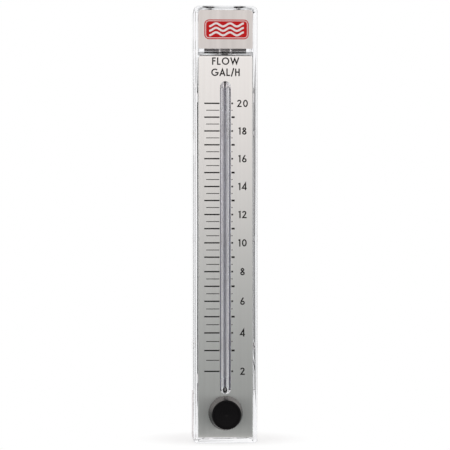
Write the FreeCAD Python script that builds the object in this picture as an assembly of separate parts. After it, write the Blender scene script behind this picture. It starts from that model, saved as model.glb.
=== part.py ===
"""Variable-area flowmeter (rotameter) with a clear moulded body, a steel scale plate and a needle valve.

Frame: millimetres, +X to the right as the scale is read, +Y out of the back, +Z up.
The origin is the centre of the inlet port, on the back face that sits against the panel.
Flow enters the back at the bottom, passes the needle valve, lifts the ball in the tapered
bore and leaves the back at the top.
"""

import math
import os

import FreeCAD
import Part

V = FreeCAD.Vector

# ---------------------------------------------------------------- driving sizes
# Body
BODY_W = 57.15  # width
BODY_D = 44.5  # front face to back face
INLET_TO_BOTTOM = 26.85  # inlet axis to the bottom face
PORT_SPACING = 311.15  # inlet axis to outlet axis
OUTLET_TO_TOP = 52.5  # outlet axis to the top face
TOP_CORNER_R = 4.8  # corners of the front outline
BOTTOM_CORNER_R = 3.2
EDGE_R = 0.7  # softening of the outline's edges
RIM_SIDE = 3.8  # clear border beside the scale plate
RIM_TOP = 3.25  # clear border over the bezel
RIM_BOTTOM = 2.35  # clear border under the plate's recess
WEB_T = 5.5  # wall behind the scale plate
FIT = 0.12  # gap round a piece that is pressed or dropped into its seat

# Cored back: two side pockets, and a channel behind the tube
COLUMN_W = 18.0  # moulded column that holds the tube bore
CHANNEL_W = 13.0
CHANNEL_BEHIND_TUBE = 10.5  # tube axis to the channel's floor
PORT_BOSS_WALL = 4.0  # plastic left round a port insert
POCKET_CORNER_R = 2.5
CROSS_RIB_T = 4.0
CHANNEL_RIB_D = 11.0  # how far a cross rib reaches into the channel

# Flow tube
TUBE_DEPTH = 13.0  # front face to tube axis
BALL_D = 6.35
BORE_D_BOTTOM = 6.6
BORE_D_TOP = 7.8
SEAT_ABOVE_INLET = 18.6  # inlet axis to the ball's seat
SLOT_BELOW_SEAT = 1.6  # the plate's slot starts this far under the seat
TUBE_END_BELOW_OUTLET = 14.75
RISER_D = 4.6  # passage from the valve chamber to the tube
SEAT_CONE_H = 1.0
BALL_REST_GAP = 0.06
STRIP_MARGIN = 1.0  # grey strip behind the tube to the channel's walls
STRIP_T = 0.8

# Tube plug with its ball stop
PLUG_D = 10.4
PLUG_HEAD_L = 9.5  # clip to the plug's head
PLUG_EDGE = 0.6  # bevel round the head
PLUG_SLOT_W = 1.6  # screwdriver slot across the head
PLUG_SLOT_D = 1.6
PLUG_HEADROOM = 1.2  # over the plug, under the top block that is bonded on after it
PLUG_ABOVE_OUTLET = 7.0  # outlet axis to the plug's sealing part
STOP_ROD_D = 3.8
STOP_TIP_BELOW_TUBE_END = 6.0
STOP_CONE_H = 4.5
STOP_TIP_R = 0.5
PLUG_RING_ABOVE_OUTLET = 9.6
PLUG_RING_SECTION = 1.78
CLIP_ABOVE_OUTLET = 13.25  # retainer fork's height
CLIP_T = 2.4
CLIP_SIDE = 6.0  # recess's side to the fork
CLIP_NECK_D = 7.0  # plug's neck inside the fork

# Port inserts, tap-drill bore for a half inch pipe thread
INSERT_D = 28.6
VALVE_DEPTH = 22.5  # what the needle valve needs in front of its port insert
PORT_BORE_D = 18.3
PORT_CHAMFER = 1.2
INSERT_RING_FROM_END = 5.0  # insert's inner end to its sealing ring
INSERT_RING_SECTION = 2.0
INSERT_EDGE = 0.5
BARB_START = 3.0
BARB_TO_RING = 4.4
BARB_COUNT = 3
BARB_DEPTH = 0.6
BARB_SHARE = 0.8  # part of its pitch that a barb's slope takes
RING_GROOVE_PLAY = 0.15  # on each side of a ring in its groove
OUTLET_WAY_D = 9.0

# Scale plate, one folded sheet
PLATE_T = 0.8
PLATE_SET_BACK = 0.3
PLATE_FOOT_GAP = 2.7  # gap under the plate, by which it is lifted out
PLATE_BEND_R = 1.3  # outside radius at the long sides
PLATE_FLANGE_D = 3.8
TOP_BEND_R = 2.4  # outside radius at the top edge
TOP_FLANGE_D = 4.2
FLANGE_END = 4.0  # flange stops this far from the plate's ends
PLATE_CORNER_R = 1.3
SLOT_W = 9.7
KNOB_HOLE_D = 31.6
TAB_L = 8.0
TAB_OUT = 0.9
TAB_D = 2.4
TAB_FROM_TUBE_END = 14.8  # locking tabs, measured inside the tube's two ends
TAB_FROM_SEAT = 12.4

# Bezel cap and nameplate
BEZEL_H = 40.4
BEZEL_POCKET_D = 7.0
BEZEL_SET_BACK = 0.1
BEZEL_LIP_H = 5.3  # clear lip under the nameplate
BEZEL_LIP_CHAMFER = 2.4
BEZEL_CORNER_R = 3.6
NAMEPLATE_T = 0.5
NAMEPLATE_MARGIN = 0.35
NAMEPLATE_CORNER_R = 3.0
NAMEPLATE_FOOT_R = 0.5
BEZEL_FOOT_R = 0.3
SCREW_D = 3.0
SCREW_HEAD_D = 8.4
SCREW_HEAD_H = 2.4
SCREW_HEAD_IN = 10.0  # back face to the screw's seat
SCREW_BITE = 4.4
SCREW_FROM_SIDE = 11.8  # recess's side to the screws
SCREW_FROM_TOP = 2.8
SCREW_FROM_FOOT = 12.0
SCREW_SOCKET_D = 2.9
SCREW_SOCKET_H = 1.3

# Needle valve, on the inlet axis
CHAMBER_D = 16.0
SEAT_WALL = 5.0  # plastic between the port and the valve chamber
CHAMBER_L = 7.5
VALVE_BARREL_D = 18.0
VALVE_FLANGE_D = 22.0
VALVE_FLANGE_T = 2.0
VALVE_NECK_D = 12.0
VALVE_NECK_OUT = 6.5  # front face to the end of the neck
VALVE_NECK_EDGE = 0.6
LOCK_RING_D = 25.0
LOCK_RING_T = 2.0
LOCK_RING_SLOTS = 4
LOCK_RING_SLOT_W = 2.2
BARREL_RING_SECTION = 1.78
VALVE_SEAT_D = 12.0
VALVE_SEAT_T = 2.5
VALVE_SEAT_EDGE = 0.5
VALVE_ORIFICE_D = 4.2
THROAT_D = 6.0
STEM_D = 6.4
STEM_PLAY = 0.08  # radial running gap of the stem
STEM_THREAD_D = 8.0
STEM_THREAD_L = 6.2
STEM_THREAD_PITCH = 0.8
STEM_TURNS = 6
STEM_SHOULDER_IN = 0.5  # front face to the shoulder that the thread stops against
STEM_THREAD_GAP = 0.3
STEM_NECK_D = 5.0
STEM_EDGE = 0.4
NEEDLE_L = 5.0
NEEDLE_TIP_R = 0.5
NEEDLE_GAP = 0.05
STEM_RING_SECTION = 1.2
STEM_RING_GROOVE_D = 3.9
STEM_RING_FROM_END = 1.9  # end of the guide to the first ring
STEM_RING_PITCH = 2.3
STEM_FLAT = 2.2  # axis to the flat of the D-shaped end
RING_PLAY = 0.04  # gap on each side of a sealing ring

# Knob
KNOB_BASE_D = 30.6
KNOB_FRONT_D = 26.0
KNOB_L = 20.0
KNOB_GAP = 0.4  # knob's base to the scale plate, valve closed
KNOB_RIM_W = 1.9
KNOB_FACE_SINK = 0.6
KNOB_DISH = 0.3  # rim's inner slope, and how much deeper the face's centre lies
KNOB_EDGE_R = 0.6
KNOB_SKIRT_H = 1.6  # smooth band at the base
KNOB_BORE_CLEAR = 0.8  # round the valve's neck
KNOB_CROWN_GAP = 1.2  # in front of the valve's neck
KNOB_FLUTES = 40
KNOB_FLUTE_R = 0.7
KNOB_FLUTE_DEPTH = 0.3
KNOB_FLUTE_STOP = 3.0  # smooth band left behind the front edge
KNOB_BORE_END = 2.2  # front face to the end of the stem's bore
SPRING_T = 0.25
SPRING_W = 2.6
SPRING_L = 6.5
SPRING_ROOM = 0.75
SPRING_PLAY = 0.02

# Threaded inserts that take the mounting screws
MOUNT_SPACING = 190.5
MOUNT_HOLE_D = 4.04
MOUNT_INSERT_D = 7.0
MOUNT_INSERT_L = 9.5
MOUNT_BOSS_D = 14.0
MOUNT_KNURL_DEPTH = 0.35

# ---------------------------------------------------------------- derived places
BOTTOM_Z = -INLET_TO_BOTTOM
OUTLET_Z = PORT_SPACING
TOP_Z = OUTLET_Z + OUTLET_TO_TOP
PORT_MID_Z = OUTLET_Z / 2
HALF_W = BODY_W / 2
RECESS_X = HALF_W - RIM_SIDE

FRONT_Y = -BODY_D
PLATE_Y = FRONT_Y + PLATE_SET_BACK
RECESS_Y = PLATE_Y + PLATE_T
WEB_Y = RECESS_Y + WEB_T
BEZEL_Y = FRONT_Y + BEZEL_POCKET_D
TUBE_Y = FRONT_Y + TUBE_DEPTH
CHANNEL_Y = TUBE_Y + CHANNEL_BEHIND_TUBE
INSERT_L = BODY_D - VALVE_DEPTH
INSERT_RING_IN = INSERT_L - INSERT_RING_FROM_END
BARB_PITCH = (INSERT_RING_IN - BARB_TO_RING - BARB_START) / BARB_COUNT
PORT_END_Y = -INSERT_L - FIT

SEAT_Z = SEAT_ABOVE_INLET
TUBE_END_Z = OUTLET_Z - TUBE_END_BELOW_OUTLET
STOP_TIP_Z = TUBE_END_Z - STOP_TIP_BELOW_TUBE_END
BALL_R = BALL_D / 2
PORT_CLEAR = INSERT_D / 2 + FIT + PORT_BOSS_WALL
POCKET_Z0 = PORT_CLEAR
POCKET_Z1 = OUTLET_Z - PORT_CLEAR
RIB_ZS = (PORT_MID_Z - MOUNT_SPACING / 2, PORT_MID_Z, PORT_MID_Z + MOUNT_SPACING / 2)
MOUNT_ZS = (RIB_ZS[0], RIB_ZS[2])

BEZEL_TOP_Z = TOP_Z - RIM_TOP
BEZEL_BOTTOM_Z = BEZEL_TOP_Z - BEZEL_H
PLATE_TOP_Z = BEZEL_BOTTOM_Z - FIT
RECESS_BOTTOM_Z = BOTTOM_Z + RIM_BOTTOM
PLATE_BOTTOM_Z = RECESS_BOTTOM_Z + PLATE_FOOT_GAP
TAB_ZS = (SEAT_Z + TAB_FROM_SEAT, TUBE_END_Z - TAB_FROM_TUBE_END)
SCREW_X = RECESS_X - SCREW_FROM_SIDE
SCREW_ZS = (BEZEL_BOTTOM_Z + SCREW_FROM_FOOT, BEZEL_TOP_Z - SCREW_FROM_TOP)
CLIP_Z = OUTLET_Z + CLIP_ABOVE_OUTLET
PLUG_TOP_Z = CLIP_Z + PLUG_HEAD_L
CLIP_HALF_W = RECESS_X - CLIP_SIDE
STRIP_HALF_W = CHANNEL_W / 2 - STRIP_MARGIN

CHAMBER_BACK_Y = PORT_END_Y - SEAT_WALL
CHAMBER_Y = CHAMBER_BACK_Y - CHAMBER_L
LOCK_RING_Y = RECESS_Y
FLANGE_FRONT_Y = LOCK_RING_Y + LOCK_RING_T
FLANGE_BACK_Y = FLANGE_FRONT_Y + VALVE_FLANGE_T
NECK_END_Y = FRONT_Y - VALVE_NECK_OUT
THREAD_STOP_Y = FRONT_Y + STEM_SHOULDER_IN
BARREL_BACK_Y = CHAMBER_Y - FIT
KNOB_BASE_Y = PLATE_Y - KNOB_GAP
KNOB_FRONT_Y = KNOB_BASE_Y - KNOB_L
KNOB_CROWN_Y = NECK_END_Y - KNOB_CROWN_GAP
STEM_GUIDE_R = STEM_D / 2
STEM_END_Y = KNOB_FRONT_Y + KNOB_BORE_END
STEM_THREAD_Y = THREAD_STOP_Y - STEM_THREAD_GAP
STEM_RISE = STEM_TURNS * STEM_THREAD_PITCH
BORE_BELOW_SEAT = SEAT_Z - SEAT_CONE_H


# ---------------------------------------------------------------- shape helpers
TOUCH = 1e-6  # two points nearer than this are one
OVER = 1.0  # how far a cutter passes the face that it opens


def box(x0, x1, y0, y1, z0, z1):
    """A box between two corners."""
    return Part.makeBox(x1 - x0, y1 - y0, z1 - z0, V(x0, y0, z0))


def rod_y(r, y0, y1, x=0.0, z=0.0):
    """A cylinder along Y."""
    return Part.makeCylinder(r, y1 - y0, V(x, y0, z), V(0, 1, 0))


def rod_z(r, z0, z1, x=0.0, y=0.0):
    """A cylinder along Z."""
    return Part.makeCylinder(r, z1 - z0, V(x, y, z0), V(0, 0, 1))


def cone_z(r0, r1, z0, z1, y):
    """A tapered rod along Z."""
    return Part.makeCone(r0, r1, z1 - z0, V(0, y, z0), V(0, 0, 1))


def turned_y(points, x=0.0, z=0.0):
    """A turned piece: the outline, given as (radius, y), revolved about an axis along Y."""
    wire = Part.makePolygon([V(x + r, y, z) for r, y in points] + [V(x + points[0][0], points[0][1], z)])
    return Part.Face(wire).revolve(V(x, 0, z), V(0, 1, 0), 360)


def turned_z(points, y):
    """A turned piece: the outline, given as (radius, z), revolved about an axis along Z."""
    wire = Part.makePolygon([V(r, y, z) for r, z in points] + [V(points[0][0], y, points[0][1])])
    return Part.Face(wire).revolve(V(0, y, 0), V(0, 0, 1), 360)


def ring_y(radius, section_r, y, z=0.0):
    """A sealing ring lying across the Y axis."""
    return Part.makeTorus(radius, section_r, V(0, y, z), V(0, 1, 0))


def middle(edge):
    """The point halfway along an edge."""
    return edge.valueAt((edge.FirstParameter + edge.LastParameter) / 2)


def slab(x, z0, z1, y0, y1, low_r=0.0, high_r=0.0):
    """A plate across Y, from -x to x and z0 to z1, with rounded lower and upper corners."""
    plate = box(-x, x, y0, y1, z0, z1)
    for r, z in ((low_r, z0), (high_r, z1)):
        if r > 0:
            ends = (V(x, (y0 + y1) / 2, z), V(-x, (y0 + y1) / 2, z))
            plate = plate.makeFillet(r, [e for e in plate.Edges if middle(e).isEqual(ends[0], TOUCH)
                                         or middle(e).isEqual(ends[1], TOUCH)])
    return plate


def stadium(width, z0, z1, y0, y1):
    """A slot's core across Y: straight sides and round ends."""
    r = width / 2
    return box(-r, r, y0, y1, z0 + r, z1 - r).fuse([rod_y(r, y0, y1, 0, z0 + r), rod_y(r, y0, y1, 0, z1 - r)])


def shifted(shape, x=0.0, y=0.0, z=0.0):
    """A moved copy."""
    moved = shape.copy()
    moved.translate(V(x, y, z))
    return moved


def one_solid(shape):
    """The single solid of a finished shape, with split faces joined."""
    clean = shape.removeSplitter()
    solids = clean.Solids
    if len(solids) != 1:
        raise ValueError(f"expected one solid and got {len(solids)}")
    return solids[0]


# ---------------------------------------------------------------- moulded body
def tube_bore():
    """The tapered bore, with the cone that the ball rests on and the riser under it."""
    taper = cone_z(BORE_D_BOTTOM / 2, BORE_D_TOP / 2, SEAT_Z, TUBE_END_Z, TUBE_Y)
    seat = cone_z(RISER_D / 2, BORE_D_BOTTOM / 2, BORE_BELOW_SEAT, SEAT_Z, TUBE_Y)
    riser = rod_z(RISER_D / 2, 0, BORE_BELOW_SEAT, 0, TUBE_Y)
    return taper.fuse([seat, riser])


def cored_back():
    """What the mould's back cores leave open: pockets either side of the tube's column, and its channel."""
    gaps = []
    stops = [POCKET_Z0, *[z + s * CROSS_RIB_T / 2 for z in RIB_ZS for s in (-1, 1)], POCKET_Z1]
    side_half = (RECESS_X - COLUMN_W / 2) / 2
    side_mid = (RECESS_X + COLUMN_W / 2) / 2
    for z0, z1 in zip(stops[0::2], stops[1::2]):
        pocket = slab(side_half, z0, z1, WEB_Y, 0, POCKET_CORNER_R, POCKET_CORNER_R)
        gaps += [shifted(pocket, x=side_mid), shifted(pocket, x=-side_mid)]
    channel = slab(CHANNEL_W / 2, POCKET_Z0, POCKET_Z1, CHANNEL_Y, 0, POCKET_CORNER_R, POCKET_CORNER_R)
    half_rib = CROSS_RIB_T / 2
    for z in RIB_ZS:
        channel = channel.cut(box(-CHANNEL_W, CHANNEL_W, -CHANNEL_RIB_D, OVER, z - half_rib, z + half_rib))
    for z in MOUNT_ZS:
        channel = channel.cut(rod_y(MOUNT_BOSS_D / 2, -CHANNEL_RIB_D, OVER, 0, z))
    gaps.append(channel)
    return gaps


def mount_bosses():
    """Round bosses for the mounting inserts, where they stand out of the column into the side pockets."""
    return [rod_y(MOUNT_BOSS_D / 2, -CHANNEL_RIB_D, 0, 0, z) for z in MOUNT_ZS]


def port_seat(z):
    """A port insert's seat in the back."""
    r = INSERT_D / 2 + FIT
    mouth = Part.makeCone(r, r + EDGE_R, EDGE_R, V(0, -EDGE_R, z), V(0, 1, 0))
    return rod_y(r, PORT_END_Y, 0, 0, z).fuse(mouth)


def valve_seat_hole():
    """The stepped hole that runs from the scale plate's recess to the inlet port."""
    lock_r, barrel_r, chamber_r = LOCK_RING_D / 2 + FIT, VALVE_BARREL_D / 2 + FIT, CHAMBER_D / 2
    seat_r, throat_r = VALVE_SEAT_D / 2 + FIT, THROAT_D / 2
    start, seat_y, end = RECESS_Y - OVER, CHAMBER_BACK_Y + VALVE_SEAT_T, PORT_END_Y + OVER
    outline = [
        (0, start), (lock_r, start), (lock_r, FLANGE_BACK_Y), (barrel_r, FLANGE_BACK_Y), (barrel_r, CHAMBER_Y),
        (chamber_r, CHAMBER_Y), (chamber_r, CHAMBER_BACK_Y), (seat_r, CHAMBER_BACK_Y), (seat_r, seat_y),
        (throat_r, seat_y), (throat_r, end), (0, end),
    ]
    return turned_y(outline)


def plug_bore():
    """The bore over the tube that takes the tube plug, and the way from it to the outlet."""
    bore = rod_z(PLUG_D / 2 + FIT, TUBE_END_Z, PLUG_TOP_Z + PLUG_HEADROOM, 0, TUBE_Y)
    way = rod_y(OUTLET_WAY_D / 2, TUBE_Y, PORT_END_Y + OVER, 0, OUTLET_Z)
    return [bore, way]


def front_recess():
    """The shallow recess for the scale plate, the grooves for its flanges and the pockets for its tabs."""
    sheet = slab(RECESS_X, RECESS_BOTTOM_Z, BEZEL_BOTTOM_Z, FRONT_Y, RECESS_Y, PLATE_CORNER_R, PLATE_CORNER_R)
    cuts = [sheet]
    groove_y = PLATE_Y + PLATE_FLANGE_D + 2 * FIT
    groove_w = PLATE_BEND_R + 2 * FIT
    for side in (-1, 1):
        x0, x1 = sorted((side * RECESS_X, side * (RECESS_X - groove_w)))
        cuts.append(box(x0, x1, FRONT_Y, groove_y, PLATE_BOTTOM_Z - FIT, PLATE_TOP_Z))
        x0, x1 = sorted((side * (RECESS_X - OVER), side * (RECESS_X + TAB_OUT + FIT)))
        for z in TAB_ZS:
            y1 = PLATE_Y + PLATE_FLANGE_D + FIT
            cuts.append(box(x0, x1, y1 - TAB_D - 2 * FIT, y1, z - TAB_L / 2 - FIT, z + TAB_L / 2 + FIT))
    bend_z, bend_y = PLATE_TOP_Z - TOP_BEND_R - FIT, PLATE_Y + TOP_FLANGE_D + 2 * FIT
    cuts.append(box(-RECESS_X, RECESS_X, FRONT_Y, bend_y, bend_z, BEZEL_BOTTOM_Z + OVER))
    return cuts


def bezel_pocket():
    """The deeper pocket for the bezel cap, its screw holes and the slot for the plug's retainer."""
    cuts = [slab(RECESS_X, BEZEL_BOTTOM_Z, BEZEL_TOP_Z, FRONT_Y, BEZEL_Y, BEZEL_FOOT_R, BEZEL_CORNER_R + FIT)]
    for x in (-SCREW_X, SCREW_X):
        for z in SCREW_ZS:
            cuts.append(rod_y(SCREW_D / 2 + FIT, BEZEL_Y - OVER, 0, x, z))
            cuts.append(rod_y(SCREW_HEAD_D / 2 + FIT, -SCREW_HEAD_IN, 0, x, z))
    w, t = CLIP_HALF_W + FIT, CLIP_T / 2 + FIT
    cuts.append(box(-w, w, BEZEL_Y - OVER, TUBE_Y + CLIP_NECK_D / 2 + FIT, CLIP_Z - t, CLIP_Z + t))
    return cuts


def body():
    """The clear moulding, with the block that is bonded on over the plug: outline, passages and cored back."""
    block = slab(HALF_W, BOTTOM_Z, TOP_Z, FRONT_Y, 0, BOTTOM_CORNER_R, TOP_CORNER_R)
    outline = [e for f in block.Faces if f.normalAt(0, 0).y ** 2 > 0.9 for e in f.Edges]
    block = block.makeFillet(EDGE_R, outline)
    block = block.cut(cored_back())
    block = block.fuse(mount_bosses())
    block = block.cut(front_recess() + bezel_pocket())
    block = block.cut([port_seat(0), port_seat(OUTLET_Z), valve_seat_hole(), tube_bore()])
    block = block.cut(plug_bore())
    holes = [rod_y(MOUNT_INSERT_D / 2 + FIT, -MOUNT_INSERT_L - FIT, 0, 0, z) for z in MOUNT_ZS]
    return one_solid(block.cut(holes))


# ---------------------------------------------------------------- front pieces
def scale_plate():
    """One folded steel sheet: flanges, a rolled top edge, four locking tabs, a tube slot and a knob hole."""
    x = RECESS_X - FIT
    end_z = PLATE_TOP_Z - TOP_BEND_R
    flat = slab(x - PLATE_BEND_R, PLATE_BOTTOM_Z, end_z, PLATE_Y, RECESS_Y)
    inner_r = PLATE_BEND_R - PLATE_T
    pieces = []
    for side in (-1, 1):
        bend = rod_z(PLATE_BEND_R, PLATE_BOTTOM_Z, end_z).cut(rod_z(inner_r, PLATE_BOTTOM_Z, end_z))
        bend = bend.common(box(0, PLATE_BEND_R, -PLATE_BEND_R, 0, PLATE_BOTTOM_Z, end_z))
        leg_z = (PLATE_BOTTOM_Z + FLANGE_END, PLATE_TOP_Z - FLANGE_END)
        leg = box(inner_r, PLATE_BEND_R, 0, PLATE_FLANGE_D - PLATE_BEND_R, *leg_z)
        edge = bend.fuse(leg)
        y1 = PLATE_FLANGE_D - PLATE_BEND_R
        root = PLATE_BEND_R - PLATE_T / 2
        ramp = [(root, y1), (PLATE_BEND_R, y1), (PLATE_BEND_R + TAB_OUT, y1 - TAB_D), (root, y1 - TAB_D)]
        for z in TAB_ZS:
            low_z = z - TAB_L / 2
            tab = Part.Face(Part.makePolygon([V(across, deep, low_z) for across, deep in ramp + ramp[:1]]))
            edge = edge.fuse(tab.extrude(V(0, 0, TAB_L)))
        edge = shifted(edge, x - PLATE_BEND_R, PLATE_Y + PLATE_BEND_R)
        pieces.append(edge if side > 0 else edge.mirror(V(0, 0, 0), V(1, 0, 0)))
    half = x - PLATE_BEND_R
    roll = Part.makeCylinder(TOP_BEND_R, 2 * half, V(-half, 0, 0), V(1, 0, 0))
    roll = roll.cut(Part.makeCylinder(TOP_BEND_R - PLATE_T, 2 * half, V(-half, 0, 0), V(1, 0, 0)))
    roll = roll.common(box(-half, half, -TOP_BEND_R, 0, 0, TOP_BEND_R))
    lip = box(-half, half, 0, TOP_FLANGE_D - TOP_BEND_R, TOP_BEND_R - PLATE_T, TOP_BEND_R)
    pieces.append(shifted(roll.fuse(lip), 0, PLATE_Y + TOP_BEND_R, end_z))
    sheet = flat.fuse(pieces)
    slot = stadium(SLOT_W, SEAT_Z - SLOT_BELOW_SEAT, TUBE_END_Z, PLATE_Y - OVER, RECESS_Y + OVER)
    hole = rod_y(KNOB_HOLE_D / 2, PLATE_Y - OVER, RECESS_Y + OVER)
    return one_solid(sheet.cut([slot, hole]))


def bezel_cap():
    """The clear cap over the plug's retainer, with a seat for the nameplate and a bevelled lower lip."""
    x = RECESS_X - FIT
    front = FRONT_Y + BEZEL_SET_BACK
    z0, z1 = BEZEL_BOTTOM_Z + FIT, BEZEL_TOP_Z - FIT
    cap = slab(x, z0, z1, front, BEZEL_Y - FIT, BEZEL_FOOT_R, BEZEL_CORNER_R)
    y_in, z_up = front + BEZEL_LIP_CHAMFER, z0 + BEZEL_LIP_CHAMFER
    bevel = [(front - OVER, z0 - OVER), (y_in, z0 - OVER), (y_in, z0), (front, z_up), (front - OVER, z_up)]
    bevel = Part.makePolygon([V(-x - OVER, y, z) for y, z in bevel + bevel[:1]])
    cap = cap.cut(Part.Face(bevel).extrude(V(2 * (x + OVER), 0, 0)))
    cap = cap.cut(nameplate_outline(front, front + NAMEPLATE_T, FIT / 2))
    holes = [rod_y(SCREW_D / 2 + FIT / 2, BEZEL_Y - SCREW_BITE - FIT, BEZEL_Y, x, z)
             for x in (-SCREW_X, SCREW_X) for z in SCREW_ZS]
    return one_solid(cap.cut(holes))


def nameplate_outline(y0, y1, grow=0.0):
    """The nameplate's outline between two depths."""
    x = RECESS_X - FIT - NAMEPLATE_MARGIN + grow
    z0 = BEZEL_BOTTOM_Z + FIT + BEZEL_LIP_H - grow
    z1 = BEZEL_TOP_Z - FIT - NAMEPLATE_MARGIN + grow
    return slab(x, z0, z1, y0, y1, NAMEPLATE_FOOT_R, NAMEPLATE_CORNER_R)


def nameplate():
    """A bare brushed plate, cemented into the bezel cap."""
    front = FRONT_Y + BEZEL_SET_BACK
    return one_solid(nameplate_outline(front, front + NAMEPLATE_T))


def bezel_screw(x, z):
    """A socket screw that pulls the bezel cap in from the back."""
    head_y = -SCREW_HEAD_IN
    screw = rod_y(SCREW_HEAD_D / 2, head_y, head_y + SCREW_HEAD_H, x, z)
    screw = screw.fuse(rod_y(SCREW_D / 2, BEZEL_Y - SCREW_BITE, head_y, x, z))
    r, face_y = SCREW_SOCKET_D / 2, head_y + SCREW_HEAD_H
    turns = [math.radians(60 * k) for k in range(7)]
    hexagon = Part.makePolygon([V(x + r * math.cos(t), face_y, z + r * math.sin(t)) for t in turns])
    socket = Part.Face(hexagon).extrude(V(0, -SCREW_SOCKET_H, 0))
    return one_solid(screw.cut(socket))


# ---------------------------------------------------------------- flow tube pieces
def float_ball():
    """The steel ball, resting on its cone at the foot of the tube."""
    return Part.makeSphere(BALL_R, V(0, TUBE_Y, BALL_Z))


def ball_rest_height():
    """Height of the ball's centre where it touches the seat cone's upper edge, plus a small gap."""
    edge_r = BORE_D_BOTTOM / 2
    slope = math.atan2(edge_r - RISER_D / 2, SEAT_CONE_H)
    contact = (BALL_R + BALL_REST_GAP) / math.sin(slope)
    apex_z = BORE_BELOW_SEAT - (RISER_D / 2) / math.tan(slope)
    return apex_z + contact


BALL_Z = ball_rest_height()
BALL_TRAVEL = STOP_TIP_Z - BALL_R - BALL_REST_GAP - BALL_Z


def tube_plug():
    """The turned plug over the tube: sealing part, neck for the fork, and the rod that stops the ball."""
    r, neck_r, rod_r = PLUG_D / 2, CLIP_NECK_D / 2, STOP_ROD_D / 2
    bottom = OUTLET_Z + PLUG_ABOVE_OUTLET
    ring_z = OUTLET_Z + PLUG_RING_ABOVE_OUTLET
    groove = PLUG_RING_SECTION / 2 + RING_GROOVE_PLAY
    neck = CLIP_T / 2 + FIT
    groove_r = r + FIT - PLUG_RING_SECTION
    outline = [
        (0, STOP_TIP_Z), (STOP_TIP_R, STOP_TIP_Z), (rod_r, STOP_TIP_Z + STOP_CONE_H), (rod_r, bottom),
        (r, bottom), (r, ring_z - groove), (groove_r, ring_z - groove), (groove_r, ring_z + groove), (r, ring_z + groove),
        (r, CLIP_Z - neck), (neck_r, CLIP_Z - neck), (neck_r, CLIP_Z + neck), (r, CLIP_Z + neck),
        (r, PLUG_TOP_Z - PLUG_EDGE), (r - PLUG_EDGE, PLUG_TOP_Z), (0, PLUG_TOP_Z),
    ]
    plug = turned_z(outline, TUBE_Y)
    y0, y1 = TUBE_Y - PLUG_SLOT_W / 2, TUBE_Y + PLUG_SLOT_W / 2
    driver = box(-r, r, y0, y1, PLUG_TOP_Z - PLUG_SLOT_D, PLUG_TOP_Z + OVER)
    return one_solid(plug.cut(driver))


def tube_plug_ring():
    """The ring that seals the tube plug."""
    section = PLUG_RING_SECTION / 2 - RING_PLAY / 2
    centre = V(0, TUBE_Y, OUTLET_Z + PLUG_RING_ABOVE_OUTLET)
    return Part.makeTorus(PLUG_D / 2 + FIT - RING_PLAY / 2 - section, section, centre, V(0, 0, 1))


def plug_retainer():
    """A wide fork of spring steel: it slides in from the bezel pocket and grips the plug's neck."""
    z0, z1 = CLIP_Z - CLIP_T / 2, CLIP_Z + CLIP_T / 2
    back = TUBE_Y + CLIP_NECK_D / 2
    fork = box(-CLIP_HALF_W, CLIP_HALF_W, BEZEL_Y, back, z0, z1)
    mouth_r = CLIP_NECK_D / 2 + FIT
    mouth = rod_z(mouth_r, z0 - OVER, z1 + OVER, 0, TUBE_Y)
    throat = box(-mouth_r, mouth_r, TUBE_Y, back + OVER, z0 - OVER, z1 + OVER)
    return one_solid(fork.cut([mouth, throat]))


def backing_strip():
    """The grey strip on the channel's floor, the ground against which the ball is read."""
    z0, z1 = POCKET_Z0 + STRIP_MARGIN, POCKET_Z1 - STRIP_MARGIN
    return one_solid(slab(STRIP_HALF_W, z0, z1, CHANNEL_Y, CHANNEL_Y + STRIP_T, STRIP_MARGIN, STRIP_MARGIN))


# ---------------------------------------------------------------- ports and mounting
def port_insert(z):
    """A turned insert: barbs that grip the plastic, a ring groove and the threaded bore."""
    r, bore = INSERT_D / 2, PORT_BORE_D / 2
    half_ring = INSERT_RING_SECTION / 2 + RING_GROOVE_PLAY
    groove_r = r + FIT - INSERT_RING_SECTION
    outline = [(bore + PORT_CHAMFER, 0), (r, 0)]
    for k in range(BARB_COUNT):
        y = -BARB_START - k * BARB_PITCH
        outline += [(r, y), (r - BARB_DEPTH, y), (r, y - BARB_PITCH * BARB_SHARE)]
    outline += [
        (r, -INSERT_RING_IN + half_ring), (groove_r, -INSERT_RING_IN + half_ring),
        (groove_r, -INSERT_RING_IN - half_ring), (r, -INSERT_RING_IN - half_ring),
        (r, -INSERT_L + INSERT_EDGE), (r - INSERT_EDGE, -INSERT_L), (bore, -INSERT_L), (bore, -PORT_CHAMFER),
    ]
    return one_solid(turned_y(outline, 0, z))


def port_ring(z):
    """The ring that seals a port insert."""
    section = INSERT_RING_SECTION / 2 - RING_PLAY / 2
    return ring_y(INSERT_D / 2 + FIT - RING_PLAY / 2 - section, section, -INSERT_RING_IN, z)


def mounting_insert(z):
    """A knurled brass insert for one mounting screw."""
    r = MOUNT_INSERT_D / 2
    waist = r - MOUNT_KNURL_DEPTH
    third = MOUNT_INSERT_L / 3
    slope = MOUNT_KNURL_DEPTH
    outline = [
        (MOUNT_HOLE_D / 2, 0), (r, 0), (r, -third), (waist, -third - slope), (waist, -2 * third + slope),
        (r, -2 * third), (r, -MOUNT_INSERT_L), (MOUNT_HOLE_D / 2, -MOUNT_INSERT_L),
    ]
    return one_solid(turned_y(outline, 0, z))


# ---------------------------------------------------------------- needle valve
def valve_seat():
    """The soft seat ring that the needle closes."""
    r, hole = VALVE_SEAT_D / 2, VALVE_ORIFICE_D / 2
    back = CHAMBER_BACK_Y + VALVE_SEAT_T - FIT
    outline = [
        (hole, back), (r, back), (r, CHAMBER_BACK_Y), (hole + VALVE_SEAT_EDGE, CHAMBER_BACK_Y),
        (hole, CHAMBER_BACK_Y + VALVE_SEAT_EDGE),
    ]
    return one_solid(turned_y(outline))


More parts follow.
